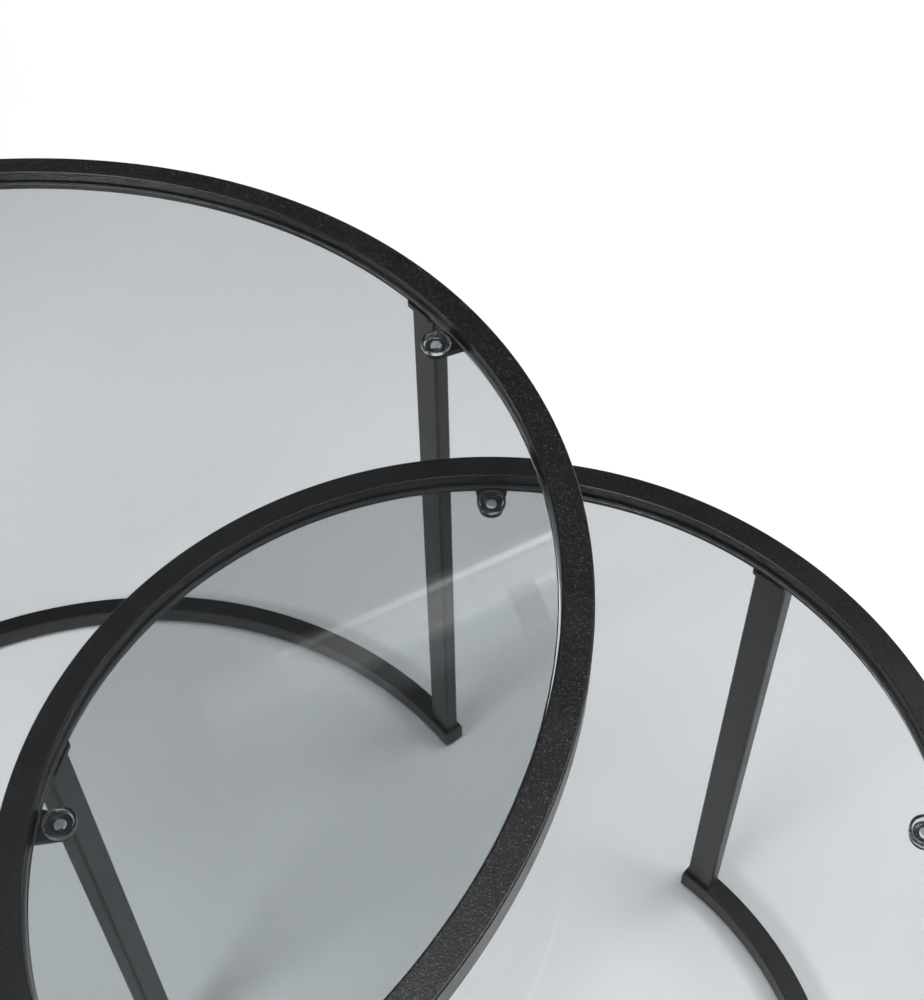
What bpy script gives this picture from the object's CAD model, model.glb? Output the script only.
import math

import bmesh
import bpy
from mathutils import Matrix, Vector


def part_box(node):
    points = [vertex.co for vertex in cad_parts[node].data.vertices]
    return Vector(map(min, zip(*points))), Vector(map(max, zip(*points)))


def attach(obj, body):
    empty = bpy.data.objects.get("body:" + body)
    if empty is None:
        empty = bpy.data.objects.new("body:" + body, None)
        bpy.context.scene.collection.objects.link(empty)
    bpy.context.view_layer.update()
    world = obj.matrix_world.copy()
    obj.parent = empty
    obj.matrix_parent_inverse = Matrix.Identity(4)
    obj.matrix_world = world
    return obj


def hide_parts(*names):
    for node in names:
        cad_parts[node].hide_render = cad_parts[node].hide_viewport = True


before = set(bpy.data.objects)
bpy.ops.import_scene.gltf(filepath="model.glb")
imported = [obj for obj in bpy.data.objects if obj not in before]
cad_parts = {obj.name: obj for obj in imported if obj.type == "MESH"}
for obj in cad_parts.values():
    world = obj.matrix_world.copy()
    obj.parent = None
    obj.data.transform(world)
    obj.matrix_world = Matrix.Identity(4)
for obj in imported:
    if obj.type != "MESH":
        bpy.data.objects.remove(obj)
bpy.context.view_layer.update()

MM = 0.001

# The camera: where it stands, which way it looks, and its lens
CAMERA_PLACE = Vector((0.28336, -0.31131, 0.95704))
CAMERA_AZIMUTH = 17.76
CAMERA_DOWN = 48.13
CAMERA_ROLL = -0.97
CAMERA_LENS = 51.03
CAMERA_SENSOR = 36.0
CAMERA_CLIP = (0.01, 60.0)

# The studio
FLOOR_HALF = 9.0
FLOOR_CELLS = 8
FLOOR_DROP = 0.0002           # below the feet, so that they don't share a plane with it
FLOOR_WHITE = (0.93, 0.935, 0.94, 1.0)
FLOOR_MOTTLE = 0.01
CEILING_LIGHT = 0.10          # how bright the upper studio is
WALL_LIGHT = 0.35             # and its walls
WALL_FADE = (0.10, 0.45)      # rise of the direction over which walls turn into ceiling
STUDIO_CENTRE = Vector((0.0, 0.0, 0.35))
STRAIGHT_DOWN = (1.0, 0.0, 0.0, 0.0)

# A long lamp beyond the tables that mirrors in the tall table's glass, with a thin brighter
# one along its upper edge
STRIP_START = Vector((-0.115, 1.68, 2.36))
STRIP_END = Vector((-0.711, 1.055, 2.36))
STRIP_RISE = Vector((-0.028, 0.046, 0.0))
STRIP_TARGET = Vector((0.10, 0.04, 0.4485))
STRIP_HEIGHT = 0.14
STRIP_RADIANCE = 1.9
STRIP_EDGE_HEIGHT = 0.022
STRIP_EDGE_RADIANCE = 2.2
STRIP_EDGE_SHARE = 0.8        # of the strip's length
STRIP_FADE = 0.35             # share of its height over which each long edge fades
STRIP_LAST = 0.15             # brightness left at its far end

# The frame's tube and plates, as in the CAD model
TUBE = 15.0 * MM
TUBE_CORNER = 1.0 * MM
PLATE = 3.0 * MM

# How finely the visual rings are divided
CORNER_MARGIN = 0.3 * MM      # from a corner's end to the row beside it
CORNER_STEPS = 5
RING_STEPS = 288

# The clear pads: a head under the tongue, a stem through it and a cup above it
PAD_INSET = 10.3 * MM
PAD_COUNT = 4
PAD_STEPS = 48
PAD_RADIUS = 8.1 * MM
PAD_FOOT_RADIUS = 7.5 * MM
PAD_FOOT = 1.6 * MM           # height at which the cup reaches its full width
PAD_WALL = 0.7 * MM           # thickness of the cup at its rim
PAD_RIM_ROUND = 0.35 * MM
PAD_RIM_GAP = 0.05 * MM       # under the glass
PAD_WELL_RADIUS = 4.6 * MM    # floor of the cup's hollow
PAD_FLOOR = 1.2 * MM
PAD_BUTTON_RADIUS = 2.7 * MM  # raised middle of that floor
PAD_BUTTON = 1.9 * MM
PAD_HEAD_RADIUS = 4.0 * MM
PAD_HEAD = 1.6 * MM
PAD_STEM_RADIUS = 2.65 * MM
PAD_CLEARANCE = 0.02 * MM     # between pad and tongue
STEP_IN = 0.1 * MM            # the small turns in the pads' outlines

# The pale middle that shows through each pad
STEM_STEPS = 32
STEM_RADIUS = 2.6 * MM
STEM_BOTTOM = 1.92 * MM
STEM_TOP = 2.3 * MM

TABLES = ("large", "small")
FIRST_PAD_ANGLE = {"large": 50.3, "small": 106.2}

# Powder coat: its dark grains, paler grains and rare bright specks, then its shine and depth
COAT_DARK = (0.0012, 0.0012, 0.0014, 1.0)
COAT_PALE = (0.0062, 0.0065, 0.0076, 1.0)
COAT_SPECK = (0.045, 0.045, 0.047, 1.0)
COAT_GLOSS = 0.42             # below one half, as a textured coat shines less
COAT_ROUGHNESS = (0.28, 0.34)
COAT_GRAIN_DEPTH = 0.25 * MM

# Glass: what it passes head on and aslant, and of the lamps' light at each face
GLASS_STRAIGHT = (0.702, 0.729, 0.739, 1.0)
GLASS_SLANTED = (0.355, 0.373, 0.380, 1.0)
GLASS_SHADE = (0.90, 0.905, 0.908, 1.0)
GLASS_EDGE = (0.030, 0.034, 0.035, 1.0)     # its ground edge
GLASS_IOR = 1.52
GLASS_GLOSS = (0.12, 0.5)     # on its ground edge and on its faces
GLASS_EDGE_ROUGHNESS = 0.45
GLASS_WIPE_ROUGHNESS = 0.012  # faint wiping marks on its faces
GLASS_SLANT = 0.6             # facing value at which the slanted colour is reached
LEVEL_FROM = 0.82             # upright part of a normal where faces begin to count as level
LEVEL_FULL = 0.995

# Clear plastic of the pads, and their pale middles
SILICONE_DIM = (0.86, 0.89, 0.89, 1.0)
SILICONE_CLEAR = (0.97, 0.98, 0.98, 1.0)
SILICONE_SHADE = 0.9
SILICONE_IOR = 1.43
SILICONE_ROUGHNESS = (0.02, 0.07)
STEM_DIM = (0.30, 0.32, 0.33, 1.0)
STEM_PALE = (0.46, 0.48, 0.49, 1.0)
STEM_ROUGHNESS = (0.2, 0.35)
STEM_SCATTER = 0.2

# Caps and feet, then screws and blocks
PLASTIC_DARK = 0.012
PLASTIC_PALE = 0.026
PLASTIC_ROUGHNESS = (0.45, 0.62)
PLASTIC_GRAIN_DEPTH = 0.10 * MM
ZINC_DIM = (0.52, 0.53, 0.55, 1.0)
ZINC_BRIGHT = (0.68, 0.67, 0.63, 1.0)
ZINC_ROUGHNESS = (0.28, 0.42)
ZINC_MARK_DEPTH = 0.05 * MM

# Shared by several functions
USUAL_NOISE = (0.3, 0.7)      # where nearly all of a noise's values lie
FULL = (0.0, 1.0)
WELD_WITHIN = 1e-6            # corners this close become one

# Where a Mix node keeps its colours among its sockets
MIX_FIRST = 6
MIX_SECOND = 7
MIX_RESULT = 2


# ---------------------------------------------------------------- node helpers

def new_material(name):
    """A material with an empty node tree and its output node."""
    material = bpy.data.materials.new(name)
    material.use_nodes = True
    tree = material.node_tree
    tree.nodes.clear()
    output = tree.nodes.new("ShaderNodeOutputMaterial")
    return material, tree, output


def node(tree, kind, values=None, **settings):
    """A node with its settings and its unlinked input values."""
    made = tree.nodes.new("ShaderNode" + kind)
    for key, value in settings.items():
        setattr(made, key, value)
    for key, value in (values or {}).items():
        made.inputs[key].default_value = value
    return made


def wire(tree, source, target):
    tree.links.new(source, target)


def object_place(tree):
    """Position on the piece itself, so that a pattern travels with it."""
    return node(tree, "TexCoord").outputs["Object"]


def noise(tree, per_metre, detail=2.0, rough=0.5):
    made = node(tree, "TexNoise", {"Scale": per_metre, "Detail": detail, "Roughness": rough})
    wire(tree, object_place(tree), made.inputs["Vector"])
    return made.outputs["Fac"]


def remap(tree, source, span=USUAL_NOISE, to=FULL):
    """A number stretched from one range to another, and held inside it."""
    ends = {"From Min": span[0], "From Max": span[1], "To Min": to[0], "To Max": to[1]}
    made = node(tree, "MapRange", ends)
    wire(tree, source, made.inputs["Value"])
    return made.outputs["Result"]


def blend_colours(tree, factor, first, second):
    """A mix of two colours, each a fixed colour or another node's output."""
    made = node(tree, "Mix", data_type="RGBA")
    for place, colour in ((MIX_FIRST, first), (MIX_SECOND, second)):
        if isinstance(colour, tuple):
            made.inputs[place].default_value = colour
        else:
            wire(tree, colour, made.inputs[place])
    wire(tree, factor, made.inputs["Factor"])
    return made.outputs[MIX_RESULT]


def bump(tree, height, depth, strength=1.0):
    made = node(tree, "Bump", {"Strength": strength, "Distance": depth})
    wire(tree, height, made.inputs["Height"])
    return made.outputs["Normal"]


def lets_light_by(tree, solid, tint, output):
    """Shows a refracting shader, and lets lamplight straight through it with a tint."""
    rays = node(tree, "LightPath")
    either = node(tree, "Math", operation="MAXIMUM")
    wire(tree, rays.outputs["Is Shadow Ray"], either.inputs[0])
    wire(tree, rays.outputs["Is Diffuse Ray"], either.inputs[1])
    mixed = node(tree, "MixShader")
    wire(tree, either.outputs[0], mixed.inputs[0])
    wire(tree, solid.outputs[0], mixed.inputs[1])
    wire(tree, node(tree, "BsdfTransparent", {"Color": tint}).outputs[0], mixed.inputs[2])
    wire(tree, mixed.outputs[0], output.inputs["Surface"])


def grey(value):
    return (value, value, value, 1.0)


# ---------------------------------------------------------------- materials

def powder_coat():
    """Black satin powder coat with a fine sandy grain and a few paler grains."""
    material, tree, output = new_material("powder_coat")
    shader = node(tree, "BsdfPrincipled", {"IOR": 1.5, "Specular IOR Level": COAT_GLOSS})
    grain = noise(tree, per_metre=1100.0, detail=3.0, rough=0.65)
    cloud = noise(tree, per_metre=45.0)
    dark = blend_colours(tree, remap(tree, grain, span=(0.35, 0.68)), COAT_DARK, COAT_PALE)
    specks = noise(tree, per_metre=1500.0, detail=0.0)
    pale = blend_colours(tree, remap(tree, specks, span=(0.67, 0.78)), grey(0.0), COAT_SPECK)
    both = node(tree, "Mix", data_type="RGBA", blend_type="ADD")
    both.inputs["Factor"].default_value = 1.0
    wire(tree, dark, both.inputs[MIX_FIRST])
    wire(tree, pale, both.inputs[MIX_SECOND])
    wire(tree, both.outputs[MIX_RESULT], shader.inputs["Base Color"])
    wire(tree, remap(tree, cloud, to=COAT_ROUGHNESS), shader.inputs["Roughness"])
    wire(tree, bump(tree, grain, COAT_GRAIN_DEPTH, strength=0.55), shader.inputs["Normal"])
    wire(tree, shader.outputs[0], output.inputs["Surface"])
    return material


def table_glass():
    """Light grey glass with a dull ground edge, darker where the sight line runs a longer way."""
    material, tree, output = new_material("table_glass")
    shader = node(tree, "BsdfPrincipled", {"IOR": GLASS_IOR})
    facing = node(tree, "LayerWeight", {"Blend": 0.5}).outputs["Facing"]
    slant = remap(tree, facing, span=(0.0, GLASS_SLANT))
    tint = blend_colours(tree, slant, GLASS_STRAIGHT, GLASS_SLANTED)
    level = upward(tree)
    wire(tree, blend_colours(tree, level, GLASS_EDGE, tint), shader.inputs["Base Color"])
    wire(tree, level, shader.inputs["Transmission Weight"])
    gloss = remap(tree, level, span=FULL, to=GLASS_GLOSS)
    wire(tree, gloss, shader.inputs["Specular IOR Level"])
    marks = noise(tree, per_metre=9.0, detail=3.0)
    wipe = remap(tree, marks, span=(0.35, 0.75), to=(0.0, GLASS_WIPE_ROUGHNESS))
    dull = remap(tree, level, span=FULL, to=(GLASS_EDGE_ROUGHNESS, 0.0))
    both = node(tree, "Math", operation="ADD")
    wire(tree, wipe, both.inputs[0])
    wire(tree, dull, both.inputs[1])
    wire(tree, both.outputs[0], shader.inputs["Roughness"])
    lets_light_by(tree, shader, GLASS_SHADE, output)
    return material


def upward(tree):
    """One on faces that look straight up or down, and zero on upright ones."""
    split = node(tree, "SeparateXYZ")
    wire(tree, node(tree, "TexCoord").outputs["Normal"], split.inputs[0])
    size = node(tree, "Math", operation="ABSOLUTE")
    wire(tree, split.outputs["Z"], size.inputs[0])
    return remap(tree, size.outputs[0], span=(LEVEL_FROM, LEVEL_FULL))


def clear_silicone():
    """Clear soft plastic with a faint cloudiness."""
    material, tree, output = new_material("clear_silicone")
    shader = node(tree, "BsdfPrincipled", {"Transmission Weight": 1.0, "IOR": SILICONE_IOR})
    haze = noise(tree, per_metre=350.0)
    colour = blend_colours(tree, haze, SILICONE_DIM, SILICONE_CLEAR)
    wire(tree, colour, shader.inputs["Base Color"])
    wire(tree, remap(tree, haze, to=SILICONE_ROUGHNESS), shader.inputs["Roughness"])
    lets_light_by(tree, shader, grey(SILICONE_SHADE), output)
    return material


def cloudy_stem():
    """The pads' solid middle, which looks pale grey."""
    material, tree, output = new_material("cloudy_stem")
    shader = node(tree, "BsdfPrincipled", {"Subsurface Weight": STEM_SCATTER, "IOR": SILICONE_IOR})
    shader.inputs["Subsurface Radius"].default_value = (MM, MM, MM)
    mottle = noise(tree, per_metre=900.0)
    colour = blend_colours(tree, mottle, STEM_DIM, STEM_PALE)
    wire(tree, colour, shader.inputs["Base Color"])
    wire(tree, remap(tree, mottle, to=STEM_ROUGHNESS), shader.inputs["Roughness"])
    wire(tree, shader.outputs[0], output.inputs["Surface"])
    return material


def moulded_black():
    """Black moulded plastic with a fine spark-eroded grain."""
    material, tree, output = new_material("moulded_black")
    shader = node(tree, "BsdfPrincipled", {"IOR": 1.49})
    grain = noise(tree, per_metre=1500.0)
    colour = blend_colours(tree, grain, grey(PLASTIC_DARK), grey(PLASTIC_PALE))
    wire(tree, colour, shader.inputs["Base Color"])
    wire(tree, remap(tree, grain, to=PLASTIC_ROUGHNESS), shader.inputs["Roughness"])
    wire(tree, bump(tree, grain, PLASTIC_GRAIN_DEPTH, strength=0.5), shader.inputs["Normal"])
    wire(tree, shader.outputs[0], output.inputs["Surface"])
    return material


def zinc_plate():
    """Zinc-plated steel with fine turning marks and a cloudy passivation."""
    material, tree, output = new_material("zinc_plate")
    shader = node(tree, "BsdfPrincipled", {"Metallic": 1.0})
    cloud = noise(tree, per_metre=300.0, detail=3.0)
    marks = noise(tree, per_metre=2500.0, detail=1.0)
    colour = blend_colours(tree, cloud, ZINC_DIM, ZINC_BRIGHT)
    wire(tree, colour, shader.inputs["Base Color"])
    wire(tree, remap(tree, cloud, to=ZINC_ROUGHNESS), shader.inputs["Roughness"])
    wire(tree, bump(tree, marks, ZINC_MARK_DEPTH, strength=0.5), shader.inputs["Normal"])
    wire(tree, shader.outputs[0], output.inputs["Surface"])
    return material


def floor_paper():
    """Seamless white paper with a barely visible mottle."""
    material, tree, output = new_material("floor_paper")
    shader = node(tree, "BsdfPrincipled", {"Roughness": 0.9, "Specular IOR Level": 0.1})
    mottle = noise(tree, per_metre=6.0)
    paler = tuple(min(1.0, channel + FLOOR_MOTTLE) for channel in FLOOR_WHITE)
    wire(tree, blend_colours(tree, mottle, FLOOR_WHITE, paler), shader.inputs["Base Color"])
    wire(tree, shader.outputs[0], output.inputs["Surface"])
    return material


# ---------------------------------------------------------------- pieces

def ring_centre(table):
    """Middle of a table's ring in plan, the ring's inner radius and its underside's height."""
    low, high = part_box(table + "_glass_top")
    ring_low, ring_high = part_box(table + "_top_ring")
    x = (low[0] + high[0]) / 2
    y = (low[1] + high[1]) / 2
    inner = (ring_high[0] - ring_low[0]) / 2 - TUBE
    return x, y, inner, ring_low[2]


def lathe(mesh, profile, place, steps):
    """Adds a smooth turned shape to a bmesh, from its outline as (radius, height) corners."""
    rows = []
    for step in range(steps):
        angle = 2 * math.pi * step / steps
        row = []
        for radius, height in profile:
            offset = Vector((radius * math.cos(angle), radius * math.sin(angle), height))
            row.append(mesh.verts.new(place + offset))
        rows.append(row)
    for step in range(steps):
        here = rows[step]
        after = rows[(step + 1) % steps]
        for k in range(len(profile) - 1):
            mesh.faces.new((here[k], after[k], after[k + 1], here[k + 1]))


def finish_mesh(name, mesh, material, body):
    """Turns a bmesh into a smooth piece that rides on a body."""
    bmesh.ops.remove_doubles(mesh, verts=mesh.verts, dist=WELD_WITHIN)
    bmesh.ops.recalc_face_normals(mesh, faces=mesh.faces)
    data = bpy.data.meshes.new(name)
    mesh.to_mesh(data)
    mesh.free()
    for face in data.polygons:
        face.use_smooth = True
    data.materials.append(material)
    piece = bpy.data.objects.new(name, data)
    bpy.context.scene.collection.objects.link(piece)
    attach(piece, body)
    return piece


def tube_outline(inner, bottom):
    """The square tube's rounded outline as (radius, height), with close rows beside each corner."""
    half = TUBE / 2 - TUBE_CORNER
    outline = []
    for turn, (side_r, side_z) in enumerate(((1, 1), (-1, 1), (-1, -1), (1, -1))):
        middle_r = inner + TUBE / 2 + side_r * half
        middle_z = bottom + TUBE / 2 + side_z * half
        for step in range(-1, CORNER_STEPS + 2):
            held = min(max(step, 0), CORNER_STEPS)
            angle = (turn + held / CORNER_STEPS) * math.pi / 2
            aside = (step - held) * CORNER_MARGIN
            r = middle_r + TUBE_CORNER * math.cos(angle) - aside * math.sin(angle)
            z = middle_z + TUBE_CORNER * math.sin(angle) + aside * math.cos(angle)
            outline.append((r, z))
    outline.append(outline[0])
    return outline


def smooth_ring(table, coat):
    """The top ring with a fine even roundness."""
    x, y, inner, bottom = ring_centre(table)
    mesh = bmesh.new()
    lathe(mesh, tube_outline(inner, bottom), Vector((x, y, 0.0)), steps=RING_STEPS)
    piece = finish_mesh(table + "_ring_tube", mesh, coat, table + "_table")
    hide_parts(table + "_top_ring")


def pad_places(table):
    """The pads' middles on top of their tongues."""
    x, y, inner, seat = ring_centre(table)
    reach = inner - PAD_INSET
    for turn in range(PAD_COUNT):
        angle = math.radians(FIRST_PAD_ANGLE[table] + 360.0 * turn / PAD_COUNT)
        yield Vector((x + reach * math.cos(angle), y + reach * math.sin(angle), seat))


def pad_head_outline():
    """A pad's lower head and its stem, up to the tongue's top."""
    bottom = -PLATE - PAD_HEAD
    return (
        (0.0, bottom),
        (PAD_HEAD_RADIUS - 7 * STEP_IN, bottom),
        (PAD_HEAD_RADIUS - STEP_IN, bottom + 0.2 * PAD_HEAD),
        (PAD_HEAD_RADIUS, bottom + 0.7 * PAD_HEAD),
        (PAD_HEAD_RADIUS - 4 * STEP_IN, -PLATE - PAD_CLEARANCE),
        (PAD_STEM_RADIUS + STEP_IN / 2, -PLATE - PAD_CLEARANCE),
        (PAD_STEM_RADIUS, -PLATE + STEP_IN),
        (PAD_STEM_RADIUS, -STEP_IN),
    )


def pad_cup_outline(rim):
    """A pad's cup, from its foot up over the rim and down to the raised middle of its hollow."""
    return (
        (PAD_STEM_RADIUS + 1.5 * STEP_IN, PAD_CLEARANCE),
        (PAD_FOOT_RADIUS - 5 * STEP_IN, PAD_CLEARANCE),
        (PAD_FOOT_RADIUS, 2.5 * STEP_IN),
        (PAD_RADIUS - 2 * STEP_IN, PAD_FOOT / 2),
        (PAD_RADIUS, PAD_FOOT),
        (PAD_RADIUS, rim - 6 * STEP_IN),
        (PAD_RADIUS - STEP_IN, rim - 2 * STEP_IN),
        (PAD_RADIUS - PAD_RIM_ROUND, rim),
        (PAD_RADIUS - PAD_WALL, rim - 1.5 * STEP_IN),
        (PAD_RADIUS - PAD_WALL - 2 * STEP_IN, rim - 5 * STEP_IN),
        (PAD_WELL_RADIUS + 20 * STEP_IN, PAD_FLOOR + 14 * STEP_IN),
        (PAD_WELL_RADIUS + 11 * STEP_IN, PAD_FLOOR + 4 * STEP_IN),
        (PAD_WELL_RADIUS, PAD_FLOOR),
        (PAD_BUTTON_RADIUS + 5 * STEP_IN, PAD_FLOOR - STEP_IN / 2),
        (PAD_BUTTON_RADIUS + STEP_IN, PAD_FLOOR + STEP_IN),
        (PAD_BUTTON_RADIUS, PAD_BUTTON - 2 * STEP_IN),
        (PAD_BUTTON_RADIUS - 2 * STEP_IN, PAD_BUTTON),
        (0.0, PAD_BUTTON),
    )


def pad_stem_outline():
    """The pale disc on a pad's raised middle."""
    return (
        (0.0, STEM_BOTTOM),
        (STEM_RADIUS - 4 * STEP_IN, STEM_BOTTOM),
        (STEM_RADIUS, STEM_TOP - 3 * STEP_IN),
        (STEM_RADIUS - 1.5 * STEP_IN, STEM_TOP - 1.5 * STEP_IN),
        (STEM_RADIUS - 7 * STEP_IN, STEM_TOP - STEP_IN / 2),
        (0.0, STEM_TOP),
    )


def glass_pads(table, silicone, stem):
    """The clear pads under a glass, each with its pale middle."""
    cups = bmesh.new()
    buttons = bmesh.new()
    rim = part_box(table + "_glass_top")[0][2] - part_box(table + "_top_ring")[0][2] - PAD_RIM_GAP
    outline = pad_head_outline() + pad_cup_outline(rim)
    for place in pad_places(table):
        lathe(cups, outline, place, steps=PAD_STEPS)
        lathe(buttons, pad_stem_outline(), place, steps=STEM_STEPS)
    body = table + "_table"
    piece = finish_mesh(table + "_clear_pads", cups, silicone, body)
    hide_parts(table + "_glass_pads")
    finish_mesh(table + "_pad_buttons", buttons, stem, body)


def dress_frame(materials):
    """Gives every CAD piece its finished material."""
    for name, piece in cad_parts.items():
        for key, material in materials.items():
            if name.endswith(key):
                piece.data.materials.clear()
                piece.data.materials.append(material)


# ---------------------------------------------------------------- studio

def studio_floor():
    """A wide sheet of white paper under the feet."""
    mesh = bmesh.new()
    bmesh.ops.create_grid(mesh, x_segments=FLOOR_CELLS, y_segments=FLOOR_CELLS, size=FLOOR_HALF)
    data = bpy.data.meshes.new("studio_floor")
    mesh.to_mesh(data)
    mesh.free()
    data.materials.append(floor_paper())
    floor = bpy.data.objects.new("studio_floor", data)
    floor.location = (0.0, 0.0, -FLOOR_DROP)
    bpy.context.scene.collection.objects.link(floor)


def studio_world():
    """Pale walls up to a height, and a dark ceiling above them."""
    world = bpy.data.worlds.new("studio")
    bpy.context.scene.world = world
    world.use_nodes = True
    tree = world.node_tree
    tree.nodes.clear()
    output = tree.nodes.new("ShaderNodeOutputWorld")
    light = node(tree, "Background", {"Strength": 1.0})
    split = node(tree, "SeparateXYZ")
    wire(tree, node(tree, "TexCoord").outputs["Generated"], split.inputs[0])
    shade = remap(tree, split.outputs["Z"], span=WALL_FADE, to=(WALL_LIGHT, CEILING_LIGHT))
    wire(tree, shade, light.inputs["Color"])
    wire(tree, light.outputs[0], output.inputs["Surface"])


def softbox(name, azimuth, elevation, distance, width, height, power):
    """An area light that faces the middle of the object."""
    around = math.radians(azimuth)
    up = math.radians(elevation)
    away = Vector((math.sin(around) * math.cos(up), -math.cos(around) * math.cos(up), math.sin(up)))
    data = bpy.data.lights.new(name, "AREA")
    data.shape = "RECTANGLE"
    data.size = width
    data.size_y = height
    data.energy = power
    lamp = bpy.data.objects.new(name, data)
    lamp.location = STUDIO_CENTRE + away * distance
    lamp.rotation_mode = "QUATERNION"
    lamp.rotation_quaternion = (-away).to_track_quat("-Z", "Y")
    bpy.context.scene.collection.objects.link(lamp)
    return lamp


def strip_lamp(name, start, end, height, radiance):
    """A long thin area light between two places, soft at its edges and dimmer towards its end."""
    data = bpy.data.lights.new(name, "AREA")
    data.shape = "RECTANGLE"
    data.size = (end - start).length
    data.size_y = height
    data.energy = radiance * math.pi * data.size * height
    soften(data)
    along = (end - start).normalized()
    middle = (start + end) / 2
    across = (middle - STRIP_TARGET).cross(along).normalized()
    facing = along.cross(across)
    lamp = bpy.data.objects.new(name, data)
    turn = Matrix((along, across, facing)).transposed().to_4x4()
    lamp.matrix_world = Matrix.Translation(middle) @ turn
    bpy.context.scene.collection.objects.link(lamp)


def soften(data):
    """Lets a lamp's own face fade to its two long edges and towards one end."""
    data.use_nodes = True
    tree = data.node_tree
    tree.nodes.clear()
    split = node(tree, "SeparateXYZ")
    wire(tree, node(tree, "NewGeometry").outputs["Parametric"], split.inputs[0])
    ridge = node(tree, "Math", {1: 0.5}, operation="PINGPONG")
    wire(tree, split.outputs["Y"], ridge.inputs[0])
    both = node(tree, "Math", operation="MULTIPLY")
    wire(tree, remap(tree, ridge.outputs[0], span=(0.0, STRIP_FADE)), both.inputs[0])
    wire(tree, remap(tree, split.outputs["X"], span=FULL, to=(1.0, STRIP_LAST)), both.inputs[1])
    light = node(tree, "Emission")
    wire(tree, both.outputs[0], light.inputs["Strength"])
    wire(tree, light.outputs[0], node(tree, "OutputLight").inputs["Surface"])


def studio_lamps():
    """Soft lamps around the tables, a wash over the far floor, and the strip with its edge."""
    softbox("overhead", azimuth=18.0, elevation=86.5, distance=3.2, width=2.0, height=2.0, power=66.0)
    softbox("right_side", azimuth=112.0, elevation=50.0, distance=2.6, width=1.6, height=1.2, power=38.0)
    softbox("behind_camera", azimuth=-24.0, elevation=38.0, distance=3.0, width=1.2, height=0.6, power=66.0)
    wash = softbox("floor_wash", azimuth=-160.0, elevation=20.0, distance=2.5,
                   width=3.0, height=0.8, power=14.0)
    wash.rotation_quaternion = STRAIGHT_DOWN
    wash.data.spread = math.radians(100.0)
    strip_lamp("strip", STRIP_START, STRIP_END, STRIP_HEIGHT, STRIP_RADIANCE)
    start = STRIP_START + STRIP_RISE
    end = start.lerp(STRIP_END + STRIP_RISE, STRIP_EDGE_SHARE)
    strip_lamp("strip_edge", start, end, STRIP_EDGE_HEIGHT, STRIP_EDGE_RADIANCE)


def studio_camera():
    """The camera at its fitted place."""
    data = bpy.data.cameras.new("camera")
    data.lens = CAMERA_LENS
    data.sensor_width = CAMERA_SENSOR
    data.clip_start, data.clip_end = CAMERA_CLIP
    camera = bpy.data.objects.new("camera", data)
    turn = Matrix.Rotation(math.radians(CAMERA_AZIMUTH), 4, "Z")
    tilt = Matrix.Rotation(math.radians(90.0 - CAMERA_DOWN), 4, "X")
    roll = Matrix.Rotation(math.radians(CAMERA_ROLL), 4, "Z")
    camera.matrix_world = Matrix.Translation(CAMERA_PLACE) @ turn @ tilt @ roll
    bpy.context.scene.collection.objects.link(camera)
    bpy.context.scene.camera = camera


def main():
    studio_camera()
    studio_floor()
    studio_world()
    studio_lamps()
    bpy.context.scene.view_settings.view_transform = "Standard"

    coat = powder_coat()
    black = moulded_black()
    zinc = zinc_plate()
    silicone = clear_silicone()
    dress_frame({
        "top_ring": coat,
        "leg_plates": coat,
        "pad_tongues": coat,
        "base_arc": coat,
        "leg_front_a": coat,
        "leg_front_b": coat,
        "leg_back": coat,
        "base_end_caps": black,
        "feet": black,
        "leg_inserts": zinc,
        "base_screws": zinc,
        "glass_pads": silicone,
        "glass_top": table_glass(),
    })
    stem = cloudy_stem()
    for table in TABLES:
        smooth_ring(table, coat)
        glass_pads(table, silicone, stem)


main()
